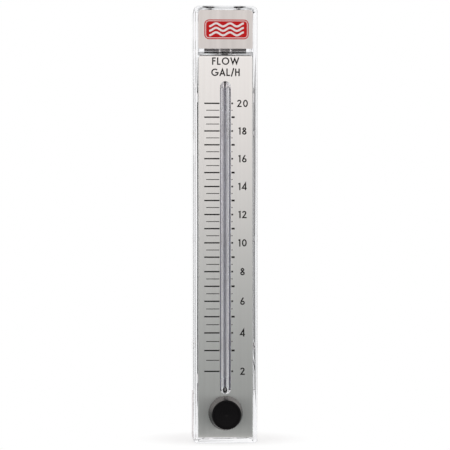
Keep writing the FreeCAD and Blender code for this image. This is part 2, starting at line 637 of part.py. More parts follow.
def valve_body():
    """The turned bonnet: barrel with a ring groove, flange under the lock ring, and threaded neck."""
    barrel_r, ring_r = VALVE_BARREL_D / 2, VALVE_BARREL_D / 2 + FIT - BARREL_RING_SECTION
    guide_r, thread_r = STEM_GUIDE_R + STEM_PLAY, STEM_THREAD_D / 2 + STEM_PLAY
    half_ring = BARREL_RING_SECTION / 2 + RING_GROOVE_PLAY
    outline = [
        (guide_r, BARREL_BACK_Y), (barrel_r, BARREL_BACK_Y), (barrel_r, BARREL_RING_Y + half_ring),
        (ring_r, BARREL_RING_Y + half_ring), (ring_r, BARREL_RING_Y - half_ring),
        (barrel_r, BARREL_RING_Y - half_ring), (barrel_r, FLANGE_BACK_Y), (VALVE_FLANGE_D / 2, FLANGE_BACK_Y),
        (VALVE_FLANGE_D / 2, FLANGE_FRONT_Y), (VALVE_NECK_D / 2, FLANGE_FRONT_Y),
        (VALVE_NECK_D / 2, NECK_END_Y + VALVE_NECK_EDGE), (VALVE_NECK_D / 2 - VALVE_NECK_EDGE, NECK_END_Y),
        (thread_r, NECK_END_Y),
        (thread_r, THREAD_STOP_Y), (guide_r, THREAD_STOP_Y),
    ]
    return one_solid(turned_y(outline))


def valve_body_ring():
    """The ring that seals the valve's barrel in the body."""
    section = BARREL_RING_SECTION / 2 - RING_PLAY / 2
    return ring_y(VALVE_BARREL_D / 2 + FIT - RING_PLAY / 2 - section, section, BARREL_RING_Y)


def valve_lock_ring():
    """The threaded ring that holds the valve down, with slots for a pin spanner."""
    outline = [
        (VALVE_NECK_D / 2 + FIT, FLANGE_FRONT_Y), (LOCK_RING_D / 2, FLANGE_FRONT_Y),
        (LOCK_RING_D / 2, LOCK_RING_Y + FIT), (VALVE_NECK_D / 2 + FIT, LOCK_RING_Y + FIT),
    ]
    ring = turned_y(outline)
    half_slot = LOCK_RING_SLOT_W / 2
    foot, x0 = LOCK_RING_Y + LOCK_RING_T / 2, LOCK_RING_D / 2 - LOCK_RING_SLOT_W
    slot = box(x0, LOCK_RING_D, LOCK_RING_Y - OVER, foot, -half_slot, half_slot)
    slots = []
    for k in range(LOCK_RING_SLOTS):
        turned = slot.copy()
        turned.rotate(V(0, 0, 0), V(0, 1, 0), 360 * k / LOCK_RING_SLOTS)
        slots.append(turned)
    return one_solid(ring.cut(slots))


BARREL_RING_Y = (BARREL_BACK_Y + FLANGE_BACK_Y) / 2
STEM_RING_YS = tuple(BARREL_BACK_Y - STEM_RING_FROM_END - k * STEM_RING_PITCH for k in (0, 1))


def valve_stem():
    """The spindle: needle, guide with two ring grooves, thread and the D-shaped end that the knob grips."""
    orifice = VALVE_ORIFICE_D / 2 - NEEDLE_GAP
    groove_r, half_ring = STEM_RING_GROOVE_D / 2, STEM_RING_SECTION / 2 + RING_GROOVE_PLAY
    tip_y = CHAMBER_BACK_Y + NEEDLE_L
    outline = [
        (0, tip_y), (NEEDLE_TIP_R, tip_y), (orifice, CHAMBER_BACK_Y),
        (STEM_NECK_D / 2, CHAMBER_BACK_Y - STEM_EDGE), (STEM_NECK_D / 2, BARREL_BACK_Y + STEM_EDGE),
        (STEM_GUIDE_R, BARREL_BACK_Y),
    ]
    for y in STEM_RING_YS:
        outline += [(STEM_GUIDE_R, y + half_ring), (groove_r, y + half_ring), (groove_r, y - half_ring),
                    (STEM_GUIDE_R, y - half_ring)]
    outline += [
        (STEM_GUIDE_R, STEM_THREAD_Y), (STEM_THREAD_D / 2, STEM_THREAD_Y),
        (STEM_THREAD_D / 2, STEM_THREAD_Y - STEM_THREAD_L), (STEM_GUIDE_R, STEM_THREAD_Y - STEM_THREAD_L),
        (STEM_GUIDE_R, STEM_END_Y + STEM_EDGE), (STEM_GUIDE_R - STEM_EDGE, STEM_END_Y), (0, STEM_END_Y),
    ]
    stem = turned_y(outline)
    flat = box(-STEM_D, STEM_D, STEM_END_Y - OVER, KNOB_CROWN_Y, STEM_FLAT, STEM_D)
    return one_solid(stem.cut(flat))


def stem_ring(y):
    """A ring in the stem's groove: it travels with the stem and slides in the valve's bore."""
    groove_r, bore_r = STEM_RING_GROOVE_D / 2, STEM_GUIDE_R + STEM_PLAY
    section = (bore_r - groove_r) / 2 - RING_PLAY
    return ring_y((bore_r + groove_r) / 2, section, y)


def knob():
    """The black knob: fluted taper, dished face, hollow back and a D-shaped bore with room for its spring."""
    base_r, front_r = KNOB_BASE_D / 2, KNOB_FRONT_D / 2
    cavity_r = VALVE_NECK_D / 2 + KNOB_BORE_CLEAR
    face_r = front_r - KNOB_RIM_W
    sunk_y = KNOB_FRONT_Y + KNOB_FACE_SINK
    outline = [
        (cavity_r, KNOB_BASE_Y), (base_r - KNOB_EDGE_R, KNOB_BASE_Y), (base_r, KNOB_BASE_Y - KNOB_EDGE_R),
        (base_r, KNOB_BASE_Y - KNOB_SKIRT_H), (front_r, KNOB_FRONT_Y + KNOB_EDGE_R),
        (front_r - KNOB_EDGE_R, KNOB_FRONT_Y), (face_r, KNOB_FRONT_Y), (face_r - KNOB_DISH, sunk_y),
        (0, sunk_y + KNOB_DISH), (0, KNOB_CROWN_Y), (cavity_r, KNOB_CROWN_Y),
    ]
    grip = turned_y(outline)
    foot_y, run = KNOB_BASE_Y - KNOB_SKIRT_H, KNOB_L - KNOB_SKIRT_H - KNOB_EDGE_R
    flute_run = run - KNOB_FLUTE_STOP
    stop_r = base_r - (base_r - front_r) * flute_run / run
    start = V(base_r + KNOB_FLUTE_R - KNOB_FLUTE_DEPTH, foot_y, 0)
    end = V(stop_r + KNOB_FLUTE_R, foot_y - flute_run, 0)
    axis = (end - start).normalize()
    flute_l = flute_run + 2 * KNOB_FLUTE_STOP
    flute = Part.makeCylinder(KNOB_FLUTE_R, flute_l, start - axis * KNOB_FLUTE_STOP, axis)
    flutes = []
    for k in range(KNOB_FLUTES):
        turned = flute.copy()
        turned.rotate(V(0, 0, 0), V(0, 1, 0), 360 * k / KNOB_FLUTES)
        flutes.append(turned)
    grip = grip.cut(flutes)
    bore = rod_y(STEM_GUIDE_R + FIT / 2, STEM_END_Y - FIT, KNOB_CROWN_Y + OVER)
    flat_z = STEM_FLAT + SPRING_ROOM
    bore = bore.cut(box(-STEM_D, STEM_D, STEM_END_Y - OVER, KNOB_CROWN_Y + 2 * OVER, flat_z, STEM_D))
    return one_solid(grip.cut(bore))


def knob_spring():
    """The bowed leaf that presses on the stem's flat and holds the pull-off knob."""
    mid = (KNOB_CROWN_Y + STEM_END_Y) / 2
    y0, y1 = mid - SPRING_L / 2, mid + SPRING_L / 2
    high, low = STEM_FLAT + SPRING_ROOM - SPRING_PLAY, STEM_FLAT + SPRING_T + SPRING_PLAY
    x = -SPRING_W / 2
    under, dip = high - SPRING_T, low - SPRING_T
    outer = Part.Arc(V(x, y0, high), V(x, mid, low), V(x, y1, high)).toShape()
    inner = Part.Arc(V(x, y1, under), V(x, mid, dip), V(x, y0, under)).toShape()
    ends = [Part.LineSegment(V(x, y1, high), V(x, y1, under)).toShape(),
            Part.LineSegment(V(x, y0, under), V(x, y0, high)).toShape()]
    leaf = Part.Face(Part.Wire([outer, ends[0], inner, ends[1]]))
    return one_solid(leaf.extrude(V(SPRING_W, 0, 0)))


# ---------------------------------------------------------------- all pieces
def pieces():
    """Every node by name."""
    made = {
        "body": body(),
        "scale_plate": scale_plate(),
        "bezel_cap": bezel_cap(),
        "nameplate": nameplate(),
        "tube_plug": tube_plug(),
        "tube_plug_ring": tube_plug_ring(),
        "plug_retainer": plug_retainer(),
        "backing_strip": backing_strip(),
        "float_ball": float_ball(),
        "inlet_insert": port_insert(0),
        "inlet_ring": port_ring(0),
        "outlet_insert": port_insert(OUTLET_Z),
        "outlet_ring": port_ring(OUTLET_Z),
        "lower_mounting_insert": mounting_insert(MOUNT_ZS[0]),
        "upper_mounting_insert": mounting_insert(MOUNT_ZS[1]),
        "valve_seat": valve_seat(),
        "valve_body": valve_body(),
        "valve_body_ring": valve_body_ring(),
        "valve_lock_ring": valve_lock_ring(),
        "valve_stem": valve_stem(),
        "stem_ring_inner": stem_ring(STEM_RING_YS[0]),
        "stem_ring_outer": stem_ring(STEM_RING_YS[1]),
        "knob": knob(),
        "knob_spring": knob_spring(),
    }
    corners = [(x, z) for z in SCREW_ZS for x in (-SCREW_X, SCREW_X)]
    for number, (x, z) in enumerate(corners, start=1):
        made[f"bezel_screw_{number}"] = bezel_screw(x, z)
    return made


os.makedirs("parts", exist_ok=True)
for name, shape in pieces().items():
    shape.exportStep(f"parts/{name}.step")
print(f"body {BODY_W:.2f} x {BODY_D:.2f} x {TOP_Z - BOTTOM_Z:.2f} mm")
print(f"ball rests at z {BALL_Z:.3f} mm and travels {BALL_TRAVEL:.2f} mm; stem rises {STEM_RISE:.2f} mm")
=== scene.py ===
"""Looks of the clear-bodied rotameter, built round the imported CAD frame. Metres; +X right, +Y out of the
back, +Z up; the origin is the centre of the inlet port on the back face."""
import math

import bmesh
import bpy
import numpy as np
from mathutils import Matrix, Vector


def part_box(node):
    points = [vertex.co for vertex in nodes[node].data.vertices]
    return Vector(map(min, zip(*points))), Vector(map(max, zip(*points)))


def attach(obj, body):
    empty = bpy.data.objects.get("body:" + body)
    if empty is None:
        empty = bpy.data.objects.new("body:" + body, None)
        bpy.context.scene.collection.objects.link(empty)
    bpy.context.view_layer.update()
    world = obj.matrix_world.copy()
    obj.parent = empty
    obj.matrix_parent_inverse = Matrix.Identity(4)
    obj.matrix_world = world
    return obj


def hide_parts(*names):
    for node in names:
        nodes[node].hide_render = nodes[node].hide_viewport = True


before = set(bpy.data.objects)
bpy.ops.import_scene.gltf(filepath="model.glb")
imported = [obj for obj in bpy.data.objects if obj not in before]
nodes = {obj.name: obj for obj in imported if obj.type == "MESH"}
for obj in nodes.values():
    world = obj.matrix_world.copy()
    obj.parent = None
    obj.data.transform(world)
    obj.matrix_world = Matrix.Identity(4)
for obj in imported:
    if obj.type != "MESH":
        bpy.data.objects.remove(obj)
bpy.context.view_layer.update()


# ------------------------------------------------------------------ Clear body
# One thick injection moulding in clear plastic, polished by its mould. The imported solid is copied, and its
# flow passage recut finely, so that it refracts as a round bore. The bore is lightly scuffed, and clear at
# both ends.
MM = 0.001
RISER_R, SEAT_R, BORE_END_R, PLUG_BORE_R = 2.3 * MM, 3.3 * MM, 3.9 * MM, 5.32 * MM
RISER_FOOT_Z = -3 * MM
SEAT_Z, SEAT_H = 18.6 * MM, 1 * MM
PLUG_TIP_H = 6.0 * MM  # the plug's tip reaches this far down into the bore
PLUG_HEADROOM = 1.2 * MM
BORE_SKIN = 0.03 * MM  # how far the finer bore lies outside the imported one
BORE_SEGMENTS = 144
BORE_MIDDLE_Z = 151 * MM
POLISH_FROM, POLISH_FULL = 117 * MM, 126 * MM  # above and below the middle
POLISHED_SHARE = 0.12  # what polish leaves of the scuffed roughness
BODY_INDEX = 1.49
SHADOW_TINT = (0.97, 0.975, 0.98, 1)  # what lamps keep of each colour through the plastic
MERGE_NEW, MERGE_PACKED = 1e-7, 1e-6  # points that lie this close are one


def grain_group():
    """Noise stretched by a scale along each axis. Fine is its ripple, Broad its slow drift, both 0 to 1."""
    group = bpy.data.node_groups.new("Stretched grain", "ShaderNodeTree")
    group.interface.new_socket("Vector", in_out="INPUT", socket_type="NodeSocketVector")
    group.interface.new_socket("Scale", in_out="INPUT", socket_type="NodeSocketVector")
    group.interface.new_socket("Fine", in_out="OUTPUT", socket_type="NodeSocketFloat")
    group.interface.new_socket("Broad", in_out="OUTPUT", socket_type="NodeSocketFloat")
    enter = group.nodes.new("NodeGroupInput")
    leave = group.nodes.new("NodeGroupOutput")
    stretch = group.nodes.new("ShaderNodeVectorMath")
    stretch.operation = "MULTIPLY"
    group.links.new(enter.outputs["Vector"], stretch.inputs[0])
    group.links.new(enter.outputs["Scale"], stretch.inputs[1])
    for output, scale, detail in (("Fine", 1.0, 4.0), ("Broad", 0.13, 2.0)):
        noise = group.nodes.new("ShaderNodeTexNoise")
        noise.inputs["Scale"].default_value = scale
        noise.inputs["Detail"].default_value = detail
        group.links.new(stretch.outputs["Vector"], noise.inputs["Vector"])
        group.links.new(noise.outputs["Fac"], leave.inputs[output])
    return group


grain = grain_group()


def feed(tree, socket, value):
    """Sets a socket to a plain value, or links it to another node's output."""
    if isinstance(value, bpy.types.NodeSocket):
        tree.links.new(value, socket)
    else:
        socket.default_value = value


def fed_by(socket):
    """The output that feeds a socket."""
    return socket.links[0].from_socket


def worked(tree, operation, *values):
    """Output of a Math node."""
    node = tree.nodes.new("ShaderNodeMath")
    node.operation = operation
    for socket, value in zip(node.inputs, values):
        feed(tree, socket, value)
    return node.outputs["Value"]


def spread(tree, value, start, end, low=0.0, high=1.0, interpolation="LINEAR"):
    """Output of a Map Range node: low where the value is start, high where it is end."""
    node = tree.nodes.new("ShaderNodeMapRange")
    node.interpolation_type = interpolation
    feed(tree, node.inputs["Value"], value)
    for socket, limit in (("From Min", start), ("From Max", end), ("To Min", low), ("To Max", high)):
        node.inputs[socket].default_value = limit
    return node.outputs["Result"]


def mixed(tree, share, one, other, kind="RGBA"):
    """Output of a Mix node: one where the share is 0, the other where it is 1."""
    node = tree.nodes.new("ShaderNodeMix")
    node.data_type = kind
    for socket, value in (("Factor", share), ("A", one), ("B", other)):
        feed(tree, node.inputs[socket], value)
    return node.outputs["Result"]


def coordinate(tree, axis, kind="Object"):
    """One coordinate, X, Y or Z, of the shaded point, or of a ray's direction in the world."""
    place = tree.nodes.new("ShaderNodeTexCoord")
    parts = tree.nodes.new("ShaderNodeSeparateXYZ")
    tree.links.new(place.outputs[kind], parts.inputs["Vector"])
    return parts.outputs[axis]


def choose_shader(tree, share, one, other, last):
    """Sends one shader to the last node where the share is 0, and the other where it is 1."""
    choice = tree.nodes.new("ShaderNodeMixShader")
    for socket, output in zip(choice.inputs, (share, one, other)):
        tree.links.new(output, socket)
    tree.links.new(choice.outputs["Shader"], tree.nodes[last].inputs["Surface"])


def finish_material(name, color, shade, rough, grain_scale, relief, metallic=0.0, **sockets):
    """Principled surface over stretched grain.

    color darkens by shade where the broad drift is low, roughness runs from rough[0] to rough[1] with the
    fine ripple, and the ripple is relief metres high. Other sockets are set by name, spaces as underscores.
    """
    material = bpy.data.materials.new(name)
    material.use_nodes = True
    tree = material.node_tree
    surface = tree.nodes["Principled BSDF"]
    surface.inputs["Metallic"].default_value = metallic
    for socket, value in sockets.items():
        surface.inputs[socket.replace("_", " ")].default_value = value
    place = tree.nodes.new("ShaderNodeTexCoord")
    grained = tree.nodes.new("ShaderNodeGroup")
    grained.node_tree = grain
    grained.inputs["Scale"].default_value = grain_scale
    tree.links.new(place.outputs["Object"], grained.inputs["Vector"])
    darkest = [channel * (1 - shade) for channel in color]
    tint = mixed(tree, grained.outputs["Broad"], (*darkest, 1), (*color, 1))
    tree.links.new(tint, surface.inputs["Base Color"])
    roughness = spread(tree, grained.outputs["Fine"], 0.0, 1.0, *rough)
    tree.links.new(roughness, surface.inputs["Roughness"])
    bump = tree.nodes.new("ShaderNodeBump")
    bump.inputs["Distance"].default_value = relief
    tree.links.new(grained.outputs["Fine"], bump.inputs["Height"])
    tree.links.new(bump.outputs["Normal"], surface.inputs["Normal"])
    return material


def wear(obj, material):
    """Puts one material on every face of an object."""
    obj.data.materials.clear()
    obj.data.materials.append(material)


def placed(name, data):
    """A new object in the scene, at the origin."""
    obj = bpy.data.objects.new(name, data)
    bpy.context.scene.collection.objects.link(obj)
    return obj


def soften(mesh, degrees):
    """Shades a mesh smooth, with sharp edges where it turns by more than so many degrees."""
    mesh.polygons.foreach_set("use_smooth", [True] * len(mesh.polygons))
    mesh.set_sharp_from_angle(angle=math.radians(degrees))


def solid_mesh(name, points, faces, smooth=30):
    """A mesh object of points and faces, with doubles merged and faces turned outwards."""
    mesh = bpy.data.meshes.new(name)
    mesh.from_pydata(np.asarray(points).tolist(), [], [list(face) for face in faces])
    shell = bmesh.new()
    shell.from_mesh(mesh)
    bmesh.ops.remove_doubles(shell, verts=shell.verts, dist=MERGE_NEW)
    bmesh.ops.recalc_face_normals(shell, faces=shell.faces)
    shell.to_mesh(mesh)
    shell.free()
    soften(mesh, smooth)
    return placed(name, mesh)


def packed_copy(name, node):
    """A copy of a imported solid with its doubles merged."""
    mesh = nodes[node].data.copy()
    shell = bmesh.new()
    shell.from_mesh(mesh)
    bmesh.ops.remove_doubles(shell, verts=shell.verts, dist=MERGE_PACKED)
    shell.to_mesh(mesh)
    shell.free()
    return placed(name, mesh)


def combine(obj, tool, operation, smooth):
    """Joins a tool to a piece (UNION), or cuts it away (DIFFERENCE), for good."""
    joint = obj.modifiers.new("Tool", "BOOLEAN")
    joint.operation = operation
    joint.solver = "EXACT"
    joint.material_mode = "TRANSFER"
    joint.object = tool
    finished = bpy.data.meshes.new_from_object(obj.evaluated_get(bpy.context.evaluated_depsgraph_get()))
    obj.modifiers.clear()
    obj.data = finished
    bpy.data.objects.remove(tool)
    soften(finished, smooth)
    true_flats = obj.modifiers.new("True flats", "WEIGHTED_NORMAL")
    true_flats.keep_sharp = True
    true_flats.weight = 100


def grid_faces(rows, columns, looped):
    """Quads between neighbours in a grid whose rows are rings. If looped, the last row joins the first."""
    ids = np.arange(rows * columns).reshape(rows, columns)
    onward = np.roll(ids, -1, 0)
    quads = np.stack([ids, np.roll(ids, -1, 1), np.roll(onward, -1, 1), onward], -1)
    return (quads if looped else quads[:-1]).reshape(-1, 4)


def lathe(name, profile, centre, axis="Z", segments=96, closed=False):
    """A turned surface: profile is (radius, place along the axis), carried round the axis through centre.

    Vertex = centre + radius (cos t, sin t) across the axis + place along it. Radius 0 ends are one pole.
    """
    profile = np.asarray(profile, float)
    turn = np.linspace(0, 2 * np.pi, segments, endpoint=False)
    along = profile[:, 1:] + 0 * turn
    one_way, other_way = profile[:, :1] * np.cos(turn), profile[:, :1] * np.sin(turn)
    if axis == "Z":
        grid = np.stack([centre[0] + one_way, centre[1] + other_way, centre[2] + along], -1)
    else:
        grid = np.stack([centre[0] + other_way, centre[1] + along, centre[2] + one_way], -1)
    return solid_mesh(name, grid.reshape(-1, 3), grid_faces(len(profile), segments, closed), smooth=40)


def clear_body(outside, cored):
    """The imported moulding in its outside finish, its bore recut by a turned cutter in the cored finish."""
    obj = packed_copy("clear_body", "body")
    wear(obj, outside)
    plug_low, plug_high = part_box("tube_plug")
    tube_y = (plug_low.y + plug_high.y) / 2
    bore_end = plug_low.z + PLUG_TIP_H
    profile = [
        (RISER_R, RISER_FOOT_Z), (RISER_R, SEAT_Z - SEAT_H), (SEAT_R, SEAT_Z), (BORE_END_R, bore_end),
        (PLUG_BORE_R, bore_end), (PLUG_BORE_R, plug_high.z + PLUG_HEADROOM),
    ]
    profile = [(r + BORE_SKIN, z) for r, z in profile]
    profile = [(0, profile[0][1])] + profile + [(0, profile[-1][1])]
    cutter = lathe("bore_cutter", profile, (0, tube_y, 0), segments=BORE_SEGMENTS)
    wear(cutter, cored)
    combine(obj, cutter, "DIFFERENCE", smooth=35)
    return obj


def clear_plastic(name, color, rough):
    """Clear moulded plastic: refracts sharply, and lets lamps cast only a faint shadow through it."""
    material = finish_material(
        name, color, shade=0.02, rough=rough, grain_scale=(60, 60, 25), relief=0.0,
        Transmission_Weight=1.0, IOR=BODY_INDEX)
    tree = material.node_tree
    path = tree.nodes.new("ShaderNodeLightPath")
    passing = tree.nodes.new("ShaderNodeBsdfTransparent")
    passing.inputs["Color"].default_value = SHADOW_TINT
    choose_shader(
        tree, path.outputs["Is Shadow Ray"], tree.nodes["Principled BSDF"].outputs["BSDF"],
        passing.outputs["BSDF"], "Material Output")
    return material


def polish_ends(material):
    """Lowers a material's roughness to the polished share, far above and far below the bore's middle."""
    tree = material.node_tree
    roughness = tree.nodes["Principled BSDF"].inputs["Roughness"]
    from_middle = worked(tree, "ABSOLUTE", worked(tree, "SUBTRACT", coordinate(tree, "Z"), BORE_MIDDLE_Z))
    polish = spread(tree, from_middle, POLISH_FROM, POLISH_FULL, 1.0, POLISHED_SHARE)
    tree.links.new(worked(tree, "MULTIPLY", fed_by(roughness), polish), roughness)


body_plastic = clear_plastic("Clear moulded plastic", color=(0.965, 0.97, 0.985), rough=(0.0, 0.02))
bore_plastic = clear_plastic("Cored bore plastic", color=(0.965, 0.97, 0.985), rough=(0.40, 0.46))
polish_ends(bore_plastic)
moulding = clear_body(body_plastic, bore_plastic)
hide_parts("body")
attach(moulding, "housing")

# ------------------------------------------------------------------ Bezel cap
# Clear cap over the tube plug's fork, moulded in the same plastic and pulled in by four screws. Its front
# has a seat for the nameplate.
wear(nodes["bezel_cap"], clear_plastic("Clear cap plastic", color=(0.97, 0.98, 0.985), rough=(0.0, 0.03)))

# ------------------------------------------------------------------ Bezel screws
# Four plain steel socket screws, turned in from the back. The upper two are seen through the clear top.
plain_screw = finish_material(
    "Screw steel", color=(0.12, 0.12, 0.125), shade=0.2, rough=(0.30, 0.45),
    grain_scale=(1200, 1200, 1200), relief=1e-6, metallic=1.0)
for number in (1, 2, 3, 4):
    wear(nodes[f"bezel_screw_{number}"], plain_screw)

# ------------------------------------------------------------------ Nameplate
# Brushed aluminium plate cemented into the cap. Its enamelled badge is plain: three white waves on a red
# field with a white keyline, and no name.
BADGE_MID = (0.9 * MM, 342.6 * MM)
BADGE_W, BADGE_H = 39.6 * MM, 17.6 * MM
BADGE_CORNER = 4.2 * MM
ENAMEL_T = 0.05 * MM
WHITE_T = ENAMEL_T / 2  # the white lies on the red
KEYLINE_IN = 1.2 * MM  # field's edge to the keyline
KEYLINE_W = 0.55 * MM
WAVES, WAVE_POINTS = 2.5, 81  # in a row
WAVE_L, WAVE_H, WAVE_W = 12.4 * MM, 1.35 * MM, 1.75 * MM
WAVE_ROWS = (-4.0 * MM, 0.0, 4.0 * MM)
LEAST_COSINE = 0.3  # keeps the mitre of a sharp corner short
nameplate_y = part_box("nameplate")[0].y
wear(nodes["nameplate"], finish_material(
    "Brushed nameplate aluminium", color=(0.66, 0.665, 0.64), shade=0.24, rough=(0.26, 0.38),
    grain_scale=(2200, 2200, 30), relief=2.0e-6, metallic=1.0, Anisotropic=0.9))


def rounded_frame(middle, width, height, corner, steps=10):
    """Points round an upright rectangle with round corners: four quarter circles, anticlockwise."""
    points = []
    for across, up, start in ((1, 1, 0), (-1, 1, 90), (-1, -1, 180), (1, -1, 270)):
        turn = np.radians(start + np.linspace(0, 90, steps))
        x = middle[0] + across * (width / 2 - corner) + corner * np.cos(turn)
        z = middle[1] + up * (height / 2 - corner) + corner * np.sin(turn)
        points.append(np.stack([x, z], 1))
    return np.concatenate(points)


def flat_form(name, outline, back, thick):
    """A thin upright plate: an outline of (x, z) points carried from y = back to y = back - thick."""
    count = len(outline)
    layers = [np.stack([outline[:, 0], np.full(count, y), outline[:, 1]], 1) for y in (back, back - thick)]
    near = np.arange(count)
    far = near + count
    sides = np.stack([near, np.roll(near, -1), np.roll(far, -1), far], 1).tolist()
    return solid_mesh(name, np.concatenate(layers), sides + [near[::-1].tolist(), far.tolist()])


def carried_bars(paths, width, back, thick):
    """Printed strokes: a flat section, width by thick, carried along each path of (x, z) points on y = back.

    Each point moves both ways along the mean normal of its two runs, over the cosine of half their turn, so
    corners are mitred. A path that ends where it starts is a closed band.
    """
    points, faces, count = [], [], 0
    for path in paths:
        path = np.asarray(path, float)
        looped = np.allclose(path[0], path[-1])
        core = path[:-1] if looped else path
        run = np.roll(core, -1, 0) - core
        run /= np.linalg.norm(run, axis=1, keepdims=True)
        before, after = np.roll(run, 1, 0), run.copy()
        if not looped:
            before[0], after[-1] = after[0], before[-1]
        side = np.stack([-(before + after)[:, 1], (before + after)[:, 0]], 1)
        side /= np.linalg.norm(side, axis=1, keepdims=True)
        normal = np.stack([-after[:, 1], after[:, 0]], 1)
        reach = width / 2 / np.maximum(LEAST_COSINE, (side * normal).sum(1))
        left, right = core + side * reach[:, None], core - side * reach[:, None]
        corners = ((left, back - thick), (right, back - thick), (right, back), (left, back))
        ring = [np.stack([edge[:, 0], np.full(len(core), y), edge[:, 1]], 1) for edge, y in corners]
        faces += (count + grid_faces(len(core), 4, looped)).tolist()
        if not looped:
            first, last = np.arange(4), 4 * len(core) - 1 - np.arange(4)
            faces += [(count + first).tolist(), (count + last).tolist()]
        points.append(np.stack(ring, 1).reshape(-1, 3))
        count += 4 * len(core)
    return np.concatenate(points), faces


def fixed(obj, material):
    """Finishes a piece that stays with the body."""
    wear(obj, material)
    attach(obj, "housing")


red = finish_material(
    "Red enamel", color=(0.56, 0.006, 0.008), shade=0.10, rough=(0.30, 0.42),
    grain_scale=(1800, 1800, 1800), relief=1e-6, Specular_IOR_Level=0.15)
white = finish_material(
    "White enamel", color=(0.84, 0.82, 0.81), shade=0.05, rough=(0.35, 0.45),
    grain_scale=(1800, 1800, 1800), relief=1e-6)
field = rounded_frame(BADGE_MID, BADGE_W, BADGE_H, BADGE_CORNER)
fixed(flat_form("badge_field", field, nameplate_y, ENAMEL_T), red)
inner = rounded_frame(
    BADGE_MID, BADGE_W - 2 * KEYLINE_IN, BADGE_H - 2 * KEYLINE_IN, BADGE_CORNER - KEYLINE_IN)
badge_top_y = nameplate_y - ENAMEL_T
keyline = carried_bars([np.concatenate([inner, inner[:1]])], KEYLINE_W, badge_top_y, WHITE_T)
fixed(solid_mesh("badge_keyline", *keyline), white)
wave_x = np.linspace(-WAVES / 2, WAVES / 2, WAVE_POINTS) * WAVE_L
wave_z = WAVE_H * np.sin(wave_x / WAVE_L * 2 * np.pi)
wave_paths = [np.stack([BADGE_MID[0] + wave_x, BADGE_MID[1] + row + wave_z], 1) for row in WAVE_ROWS]
waves = carried_bars(wave_paths, WAVE_W, badge_top_y, WHITE_T)
fixed(solid_mesh("badge_waves", *waves), white)

# ------------------------------------------------------------------ Scale plate
# Stainless sheet, blanked and folded, and brushed along its length, so that its grooves spread reflections
# sideways. A rim in the same sheet brings the knob's hole in, under the base of the knob.
RIM_IN_R, RIM_OUT_R = 14.6 * MM, 15.95 * MM
RIM_INSET = 0.01 * MM  # keeps the rim's faces off the sheet's
PLATE_T = 0.8 * MM
plate_steel = finish_material(
    "Brushed scale steel", color=(0.79, 0.82, 0.795), shade=0.10, rough=(0.27, 0.35),
    grain_scale=(2600, 2600, 22), relief=2.5e-6, metallic=1.0, Anisotropic=1.0)
plate_low, plate_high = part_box("scale_plate")
knob_low, knob_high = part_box("knob")
plate = packed_copy("rimmed_scale_plate", "scale_plate")
wear(plate, plate_steel)
rim_front, rim_back = plate_low.y + RIM_INSET, plate_low.y + PLATE_T - RIM_INSET
rim_profile = [(RIM_IN_R, rim_front), (RIM_OUT_R, rim_front), (RIM_OUT_R, rim_back), (RIM_IN_R, rim_back)]
knob_axis = ((knob_low.x + knob_high.x) / 2, 0, (knob_low.z + knob_high.z) / 2)
rim = lathe("hole_rim", rim_profile, knob_axis, axis="Y", closed=True)
wear(rim, plate_steel)
combine(plate, rim, "UNION", smooth=30)
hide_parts("scale_plate")
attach(plate, "housing")

# ------------------------------------------------------------------ Printing
# Black screen ink on the scale plate: a line and a mark for each half gallon an hour, the even readings
# numbered, and a plain legend over the tube.
INK_T = 0.03 * MM
FLOW_MIN, FLOW_MAX, FLOW_STEP = 2.0, 20.0, 0.5
SCALE_BASE, SCALE_RISE, SCALE_CROWD, CROWD_POWER = 39.2, 12.128, 42.46, 0.7  # heights in millimetres
STROKE = 0.17  # stroke width over the height of a letter
NUMBER_H, NUMBER_X = 6.5 * MM, 15.2 * MM
LEGEND_H = 6.7 * MM
LEGEND_DROP, LEGEND_STEP = 5.6 * MM, 10 * MM  # plate's top to the first line, and on to the second
ink = finish_material(
    "Black screen ink", color=(0.009, 0.008, 0.008), shade=0.35, rough=(0.45, 0.6),
    grain_scale=(2500, 2500, 2500), relief=1e-6, Specular_IOR_Level=0.1)


def reading_height(flow):
    """Height of a reading: a straight rise, less a falling power of the flow that stretches the low end."""
    return (SCALE_BASE + SCALE_RISE * flow - SCALE_CROWD * flow ** -CROWD_POWER) * MM


def bowl(cx, cz, rx, rz, start=0, end=360, steps=37):
    """A stroke just inside an ellipse, from one angle to another: degrees anticlockwise from the right."""
    turn = np.radians(np.linspace(start, end, steps))
    return np.stack([cx + (rx - STROKE / 2) * np.cos(turn), cz + (rz - STROKE / 2) * np.sin(turn)], 1)


